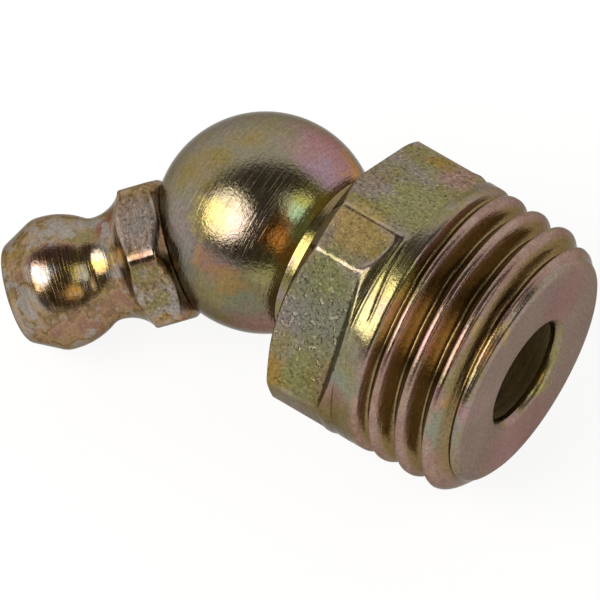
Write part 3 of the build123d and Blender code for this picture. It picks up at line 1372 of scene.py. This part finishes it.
        # Patches: film tints, and painted highlights, reflections and shade.
        for tint_and_light in self.tint_and_light_patches:
            cover = tint_and_light.cover(board, masks.ragged, self.tint_and_light_edge)
            colour = board.mix(cover * tint_and_light.share, colour, tint_and_light.colour)
        if self.blotch_colour:
            blotch = board.noise(masks.point, *Grain.BLOTCHES.value).over(Band.BLOTCH)
            colour = board.mix(blotch * self.blotch_share, colour, self.blotch_colour)
        if self.groove_colour:
            # Darker tint in grooves and bore; painted shade on the chamfer, back and tool mark.
            groove = board.attribute("groove").over(Band.GROOVE)
            groove = groove.max_with(board.attribute("bore")) * self.groove_share
            colour = board.mix(groove, colour, self.groove_colour)
            # Brown tint inside the bore.
            colour = board.mix(masks.inner, colour, BORE_BROWN)
        return colour

    def shade(self, masks: "Masks") -> Socket:
        """Grey of the fine grain, turning marks and dark pores, with light specks as painted
        glints.

        Args:
            masks: The material's masks.

        Returns:
            The grey.
        """
        shade = (masks.fine - 0.5) * masks.gain(self.fine_shade)
        shade = shade + (masks.marks - 0.5) * masks.gain(self.mark_shade) + self.shade_middle
        shade = shade - masks.pores.over(Band.PORE) * masks.gain(self.pore_shade)
        # Painted glints: light specks, most on flats.
        shade = shade + masks.pores.over(Band.GLINT_SPECK) * masks.gain(self.glint_speck_shade)
        grey = masks.board.node("ShaderNodeCombineColor", Red=shade, Green=shade, Blue=shade)
        return grey.outputs["Color"]

    def rough(self, masks: "Masks") -> Value:
        """Roughness of the marks and pits, with the bore and the corner flats duller.

        Args:
            masks: The material's masks.

        Returns:
            The roughness.
        """
        low, high = self.roughness
        rough = masks.marks.over(Band.MARKED) * (high - low) + low
        rough = rough + masks.flat * self.flat_rough + (masks.pits - 0.5) * self.pit_rough
        corner = masks.flat.over(Band.CORNER) - masks.flat.over(Band.PAST_CORNER)
        return rough + masks.inner * self.bore_rough + corner * self.corner_rough

    def relief(self, masks: "Masks") -> Value:
        """Height of the pits on flats, of the marks on turned faces, and of the fine grain.

        Args:
            masks: The material's masks.

        Returns:
            The height in micrometres.
        """
        craters = masks.pores.over(Band.CRATER) * -self.crater_share
        flats = (masks.pits - 0.5 + craters) * self.pits * masks.flat.over(Band.ON_FLAT)
        marks = (masks.marks - 0.5) * self.grain
        marks = marks + masks.scratches * (self.grain * self.scratch_share)
        marks = marks * (1 - masks.flat.over(Band.OFF_TURNED) * self.lost_marks)
        return flats + marks + (masks.fine - 0.5) * self.speckle


class Masks:
    """Masks and noises of a plated surface, read at its points in millimetres."""

    def __init__(self, board: Board, finish: PlatedFinish) -> None:
        """Adds their nodes.

        The turning marks are noise that is fine along the grain's axis and long around it.

        Args:
            board: The material's board.
            finish: The finish that they are for.
        """
        self.board = board
        place = board.node("ShaderNodeTexCoord").outputs["Object"]
        self.point = point = board.vector("MULTIPLY", place, (1 / MM,) * 3)
        scale, detail = finish.warp_scale, finish.warp_detail
        warp = board.node("ShaderNodeTexNoise", Vector=point, Scale=scale, Detail=detail)
        shift = board.vector("SUBTRACT", warp.outputs["Color"], (0.5,) * 3)
        shift = board.vector("MULTIPLY", shift, (finish.warp_reach,) * 3)
        self.ragged = board.vector("ADD", point, shift)
        self.flat = board.attribute("flat")
        self.inner = board.attribute("bore").over(Band.INNER)
        self.fine = board.noise(point, *Grain.FINE.value)
        self.pores = board.noise(point, *Grain.PORES.value)
        self.pits = board.noise(point, *Grain.PITS.value)
        around, fine = finish.mark_scales
        along = Vector(finish.grain_axis).normalized()
        height = board.measure("DOT_PRODUCT", point, along)
        height = board.node("ShaderNodeCombineXYZ", X=height, Y=height, Z=height).outputs[0]
        lift = board.vector("MULTIPLY", height, tuple(along * fine))
        lined = board.vector("MULTIPLY", point, (around,) * 3)
        lined = board.vector("ADD", lined, lift)
        self.marks = board.noise(lined, *Grain.MARKS.value)
        self.scratches = board.noise(lined, *Grain.SCRATCHES.value).over(Band.SCRATCH)

    def gain(self, strengths: Pair) -> Value:
        """The first strength on turned faces, and both together on flats."""
        return self.flat * strengths[1] + strengths[0]


@dataclass(frozen=True)
class SteelFinish:
    """Plain steel of the valve's hidden parts, with grain and drift at scales per metre."""

    name: str
    colour: Colour
    roughness: float = 0.22
    grain_rough: float = 0.12
    darkest: float = 0.7
    scales: Pair = (7000.0, 1500.0)

    def make(self) -> Material:
        """Builds the material's nodes.

        Returns:
            The material.
        """
        material, board = new_material(self.name)
        place = board.node("ShaderNodeTexCoord").outputs["Object"]
        grain = board.noise(place, self.scales[0], 3.0)
        drift = board.noise(place, self.scales[1], 2.0).over(Band.DRIFT)
        darker = tuple(self.darkest * channel for channel in self.colour)
        shader = board.node(
            "ShaderNodeBsdfPrincipled",
            Base_Color=board.mix(drift, darker, self.colour),
            Metallic=1.0,
            Roughness=grain * self.grain_rough + (self.roughness - self.grain_rough / 2),
        )
        board.show(shader)
        return material


# Patches, each over the ones before it: x, y, z, reach, tint and share.
STUD_TINTS_AND_LIGHT = (
    (7.6, -5.1, 3.9, 1.3, ROSE, 0.5),
    (4.9, -4.9, 4.5, 1.5, TAN, 0.5),
    (8.8, -5.4, 3.8, 0.7, OCHRE, 0.7),
    (9.2, 0.1, 6.5, 0.9, OLIVE, 0.9),
    (7.7, -1.5, 5.7, 2.4, MOSS, 0.75),
    (9.9, -1.2, 5.8, 1.0, GREY_MAUVE, 0.8),
    (8.7, 1.8, 6.6, 1.7, BRASS, 0.7),
    (10.0, 6.6, -0.4, 1.2, OCHRE, 0.9),
    (10.1, 5.9, 1.0, 1.0, OLIVE, 0.8),
    (8.5, 6.4, -0.1, 1.5, GRASS, 0.8),
    (8.5, 4.7, 3.4, 2.6, FERN, 0.6),
    (8.9, 3.8, 5.3, 1.5, GRASS, 0.7),
    (6.8, 6.9, 0.8, 1.1, ROSE, 0.5),
    (6.0, 6.6, 2.1, 0.9, SEA_GREEN, 0.5),
    # Painted highlight: lemon where the neck's glint falls. Painted shade: bronze on the ring by
    # the ball.
    (11.0, 2.3, 3.5, 1.5, LEMON, 0.85),
    (11.0, -0.9, 4.3, 2.0, BRONZE, 0.85),
    # Painted highlights: lemon glint on the bore's rim, gold on the end face's rounded edge.
    (0.15, -1.2, -2.4, 0.9, LEMON, 0.6),
    (0.6, 2.5, 5.6, 0.9, GOLD, 0.6),
    (6.8, 6.9, -0.3, 2.0, PEAT, 0.6),
    (0.0, -2.9, 2.9, 2.2, ROSE, 0.6),
    (0.0, 1.9, -3.8, 2.2, ROSE, 0.5),
    (0.0, -0.5, -4.6, 2.0, ROSE, 0.5),
    (1.0, 4.3, 4.4, 1.2, GRASS, 0.8),
    (0.9, 5.9, 1.6, 1.3, SEA_GREEN, 0.8),
    (1.0, 5.4, 3.2, 0.6, AMBER, 0.6),
    (4.5, -5.5, 4.0, 0.8, ROSE, 0.6),
    (3.0, -5.2, 3.9, 0.8, ROSE, 0.5),
    # Painted highlight: straw and hay where the softbox's highlight falls on the band.
    (6.0, 4.8, 5.0, 1.4, STRAW, 0.8),
    (5.6, 2.6, 6.4, 1.4, HAY, 0.85),
    (2.7, 1.1, 6.3, 0.5, AMBER, 0.6),
)
BALL_TINTS_AND_LIGHT = (
    (13.1, -2.6, 4.1, 2.4, ROSE, 0.9),
    (12.1, -3.1, 3.1, 1.1, AMBER, 0.6),
    (12.5, -1.2, 4.4, 1.4, VIOLET, 0.8),
    (15.9, -1.9, 4.8, 0.9, OLIVE, 0.5),
    (16.4, -0.7, 5.1, 0.8, OCHRE, 0.4),
    (17.7, 1.7, 4.3, 1.4, OCHRE, 0.4),
    (16.3, 4.9, 1.4, 1.3, SEA_GREEN, 0.5),
    (15.5, 4.7, 2.3, 0.9, AMBER, 0.6),
    (14.5, 4.7, 2.3, 1.0, ROSE, 0.6),
    (14.3, 5.1, 0.9, 1.3, LEMON, 0.45),
    (13.0, 4.6, 1.5, 1.3, OLIVE, 0.6),
    (13.0, 4.8, 0.4, 1.2, SEA_GREEN, 0.6),
    (12.4, 4.4, -1.1, 1.7, ROSE, 0.75),
    (11.8, 0.6, 4.1, 1.8, LEMON, 0.85),
    # Painted reflection: copper where the warm lamp's reflection falls.
    (12.4, 2.6, 3.8, 1.2, COPPER, 0.9),
    (12.1, 3.5, 2.7, 1.4, LEMON, 0.5),
    (14.0, 4.9, 1.9, 1.0, AMBER, 0.5),
    # Painted highlights: pale and honey at the left softbox's highlight, sea pale at the right
    # one's.
    (14.5, 3.3, 4.0, 1.3, PALE, 0.8),
    (15.9, 3.4, 3.9, 1.2, HONEY, 0.9),
    (12.1, 1.5, 4.1, 0.9, SEA_PALE, 0.8),
    (14.0, 5.1, 0.6, 3.6, TAR, 0.42),
)
HEAD_TINTS_AND_LIGHT = (
    (23.2, 5.7, -0.4, 0.9, ASH, 0.9),
    (21.7, 5.5, -0.3, 0.9, OLIVE, 0.8),
    (21.0, 4.6, 0.3, 1.0, CHESTNUT, 0.95),
    (24.1, 7.9, -1.1, 0.7, OCHRE, 0.4),
    # Painted highlights: gold where two highlights fall, silver where the white one falls.
    (20.3, 6.2, -0.4, 0.7, GOLD, 0.9),
    (20.6, 7.1, -0.8, 1.1, GOLD, 0.8),
    (22.2, 8.3, -0.7, 0.8, SILVER, 1.0),
    (20.0, 8.6, -2.7, 1.4, RUST, 0.35),
    # Painted light: pale on the collar's facet, lifting where it reflects the dark room.
    (19.3, 4.5, 1.4, 1.6, PALE, 0.8),
    (17.9, 6.0, 0.5, 0.9, OLIVE, 0.9),
    (16.4, 5.8, -1.1, 1.2, ASH, 0.8),
    (17.8, 6.4, -0.4, 0.5, ASH, 0.8),
    (17.1, 6.2, -0.9, 0.6, OLIVE, 0.9),
    (16.4, 6.3, -2.0, 0.5, OCHRE, 0.8),
    (18.8, 6.3, -0.2, 0.9, RUST, 0.6),
    (19.1, 6.9, -2.1, 1.0, RUST, 0.6),
    (22.2, 9.6, -3.2, 0.8, ASH, 0.5),
)


# Both are turned around the stud's axis.
STUD_FINISH = PlatedFinish(
    name="plated_body_stud",
    stops=((0.0, GREY_MAUVE), (0.3, GREY_OLIVE), (0.55, OLIVE), (0.78, GREY_MAUVE), (1.0, ROSE)),
    grain_axis=(1.0, 0.0, 0.0),
    speckle=12.0,
    groove_colour=BRONZE,
    dents=TintAndLightPatch((8.3, 4.9, 3.2), 3.2, UMBER, 130.0),
    tint_and_light_patches=tint_and_light_patches(STUD_TINTS_AND_LIGHT),
)
BALL_FINISH = PlatedFinish(
    name="plated_body_ball",
    stops=(
        (0.0, GREY_MAUVE), (0.4, GREY_OLIVE), (0.65, GREY_OLIVE), (0.8, OLIVE), (1.0, GREY_MAUVE)
    ),
    grain_axis=(1.0, 0.0, 0.0),
    roughness=(0.10, 0.2),
    speckle=14.0,
    tint_and_light_patches=tint_and_light_patches(BALL_TINTS_AND_LIGHT),
)


def head_finish(axis: HeadAxis) -> PlatedFinish:
    """The head's browner plate with dull grey blotches, turned around its own axis.

    Args:
        axis: The head's axis.

    Returns:
        The finish.
    """
    return PlatedFinish(
        name="plated_head_brown",
        stops=(
            (0.0, ASH), (0.28, BROWN), (0.42, UMBER), (0.54, BROWN), (0.75, RUST), (1.0, ASH)
        ),
        grain_axis=tuple(float(v) for v in axis.along),
        drift=0.5,
        roughness=(0.11, 0.24),
        blotch_colour=ASH,
        tint_and_light_patches=tint_and_light_patches(HEAD_TINTS_AND_LIGHT),
    )


# ---- studio


def posed(place: Vector, right: Vector, up: Vector, back: Vector) -> Matrix:
    """Matrix that puts a thing at a place, with its axes along three directions."""
    return Matrix.Translation(place) @ Matrix((right, up, back)).transposed().to_4x4()


@dataclass(frozen=True)
class Sight:
    """The camera: its place in metres, its directions, and its lens in millimetres."""

    place: Point = (-0.1504621, 0.2381020, 0.4041637)
    right: Point = (-0.81756, -0.575772, 0.008375)
    up: Point = (0.47425, -0.665, 0.576938)
    back: Point = (-0.32662, 0.475656, 0.816736)
    lens: float = 630.0
    sensor: float = 36.0
    clip: Pair = (0.01, 20.0)

    def towards(self, across: float, over: float) -> Vector:
        """Direction beside the line to the camera.

        Args:
            across: Degrees to the right of it.
            over: Degrees above it.

        Returns:
            The unit direction.
        """
        a, b = radians(across), radians(over)
        level = Vector(self.back) * cos(a) + Vector(self.right) * sin(a)
        return (level * cos(b) + Vector(self.up) * sin(b)).normalized()

    def build(self) -> None:
        """Makes the camera and gives it to the scene."""
        data = bpy.data.cameras.new("camera")
        data.lens, data.sensor_width = self.lens, self.sensor
        data.clip_start, data.clip_end = self.clip
        camera = bpy.data.objects.new("camera", data)
        right, back = (Vector(v).normalized() for v in (self.right, self.back))
        up = back.cross(right).normalized()
        camera.matrix_world = posed(self.place, up.cross(back), up, back)
        bpy.context.scene.collection.objects.link(camera)
        bpy.context.scene.camera = camera


@dataclass(frozen=True)
class Softbox:
    """Even light from a direction: degrees right of the camera and over it, and its spans.

    Its distance is in metres.
    """

    name: str
    across: float
    over: float
    width: float
    height: float
    radiance: float
    colour: Colour
    outline: Outline
    distance: float = 0.6

    def build(self, sight: Sight, middle: Vector) -> None:
        """Makes the light, facing the part.

        Args:
            sight: The camera that its direction is told from.
            middle: The part's middle.
        """
        data = bpy.data.lights.new(self.name, "AREA")
        data.shape = self.outline.value
        data.size, data.size_y = (
            2 * self.distance * tan(radians(angle / 2)) for angle in (self.width, self.height)
        )
        filled = pi / 4 if self.outline is Outline.ROUND else 1.0
        data.energy = self.radiance * pi * data.size * data.size_y * filled
        data.color = self.colour
        light = bpy.data.objects.new(self.name, data)
        outward = sight.towards(self.across, self.over)
        side = Vector(sight.up).cross(outward).normalized()
        place = middle + outward * self.distance
        light.matrix_world = posed(place, side, outward.cross(side), outward)
        light.visible_camera = False
        bpy.context.scene.collection.objects.link(light)


@dataclass(frozen=True)
class Studio:
    """Pale floor, bright surround with a dark room behind the camera, and softboxes."""

    sight: Sight
    floor_reach: float = 3.0
    floor_glow: float = 0.88
    floor_shade: float = 0.16
    room: Colour = (0.10, 0.085, 0.078)
    room_over: float = 8.0
    room_across: float = 76.0
    room_up: float = 58.0
    room_edge: Pair = (1.12, 0.86)
    room_front: Pair = (0.0, 0.1)
    softboxes: tuple[Softbox, ...] = (
        Softbox("softbox_left", -42, 7, 46, 48, 4.2, (1.0, 0.95, 0.89), Outline.ROUND),
        Softbox("softbox_right", 36, 14, 30, 26, 1.4, (0.93, 1.0, 0.9), Outline.BOX),
        Softbox("lamp_warm", 22, -18, 28, 23, 1.3, (1.0, 0.74, 0.42), Outline.ROUND),
    )

    def build_floor(self, level: float) -> None:
        """Makes the floor, far wider than the part.

        Args:
            level: Height of the part's lowest point.
        """
        corners = ((-1, -1), (1, -1), (1, 1), (-1, 1))
        corners = [(x * self.floor_reach, y * self.floor_reach, level) for x, y in corners]
        mesh = bpy.data.meshes.new("floor")
        mesh.from_pydata(corners, [], [(0, 1, 2, 3)])
        floor = bpy.data.objects.new("floor", mesh)
        bpy.context.scene.collection.objects.link(floor)
        material, board = new_material("pale_floor")
        shade = board.node("ShaderNodeBsdfDiffuse", Color=(self.floor_shade,) * 3)
        glow = board.node("ShaderNodeEmission", Color=WHITE, Strength=self.floor_glow)
        both = board.node("ShaderNodeAddShader")
        for socket, shader in zip(both.inputs, (shade, glow)):
            feed(board.tree, socket, shader.outputs[0])
        board.show(both)
        mesh.materials.append(material)

    def build_surround(self) -> None:
        """Makes the world: bright all round, dark within an ellipse about the camera's side."""
        world = bpy.data.worlds.new("studio")
        bpy.context.scene.world = world
        world.use_nodes = True
        board = Board(world.node_tree)
        direction = board.node("ShaderNodeTexCoord").outputs["Generated"]
        middle = self.sight.towards(0, self.room_over)
        across = Vector(self.sight.right)
        ahead, aside, above = (
            board.measure("DOT_PRODUCT", direction, tuple(axis))
            for axis in (middle, across, middle.cross(across))
        )
        away = (aside / sin(radians(self.room_across))) ** 2
        away = away + (above / sin(radians(self.room_up))) ** 2
        inside = away.between(*self.room_edge) * ahead.between(*self.room_front)
        seen = board.node("ShaderNodeLightPath").outputs["Is Camera Ray"]
        shown = board.mix(seen, board.mix(inside, WHITE, self.room), WHITE)
        lamp = board.node("ShaderNodeBackground", Color=shown, Strength=1.0)
        board.show(lamp, "ShaderNodeOutputWorld")

    def build(self, level: float, middle: Vector) -> None:
        """Makes the floor, the surround, the softboxes and the camera.

        Args:
            level: Height of the part's lowest point.
            middle: The part's middle.
        """
        self.build_floor(level)
        self.build_surround()
        for softbox in self.softboxes:
            softbox.build(self.sight, middle)
        self.sight.build()
        bpy.context.scene.view_settings.view_transform = "Standard"


# ---- the whole object


def seat(piece: Piece, body: Body, nodes: tuple[str, ...]) -> None:
    """Lets a piece ride on a body and stand for CAD nodes, which it hides.

    Args:
        piece: The piece.
        body: Its body.
        nodes: Names of the CAD nodes.
    """
    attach(piece, body.value)
    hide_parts(*nodes)


@dataclass
class GreaseNipple:
    """The whole object: stud, ball, head, check ball and spring."""

    axis: HeadAxis = field(default_factory=HeadAxis)

    def dress(self) -> None:
        """Builds the pieces in order, finishes them and reports each."""
        stud, ball, head, check_ball = (
            kind(self.axis).build() for kind in (Stud, Ball, Head, CheckBall)
        )
        spring = Spring(self.axis)
        coil = spring.build()
        ball_steel = SteelFinish("ball_steel_fine", BRIGHT_STEEL)
        spring_steel = SteelFinish("spring_steel_fine", DULL_STEEL, roughness=0.3)
        work = (
            (stud, STUD_FINISH, Body.NIPPLE, Slot.BODY, ("elbow_body",)),
            (ball, BALL_FINISH, Body.NIPPLE, Slot.BODY, ("elbow_body",)),
            (head, head_finish(self.axis), Body.NIPPLE, Slot.HEAD, ("nipple_head",)),
            (check_ball, ball_steel, Body.VALVE_BALL, Slot.BALL, ("check_ball",)),
            (coil, spring_steel, Body.NIPPLE, Slot.SPRING, ("spring",)),
        )
        for piece, finish, body, slot, nodes in work:
            piece.data.materials.append(finish.make())
            seat(piece, body, nodes)
            log.info("%s: %d triangles", piece.name, len(piece.data.polygons))
        spring.press(coil)


def main() -> None:
    """Builds the object and the studio around it."""
    GreaseNipple().dress()
    low, high = CAD_BOX
    Studio(Sight()).build(low.z, (low + high) / 2)


if __name__ == "__main__":
    main()
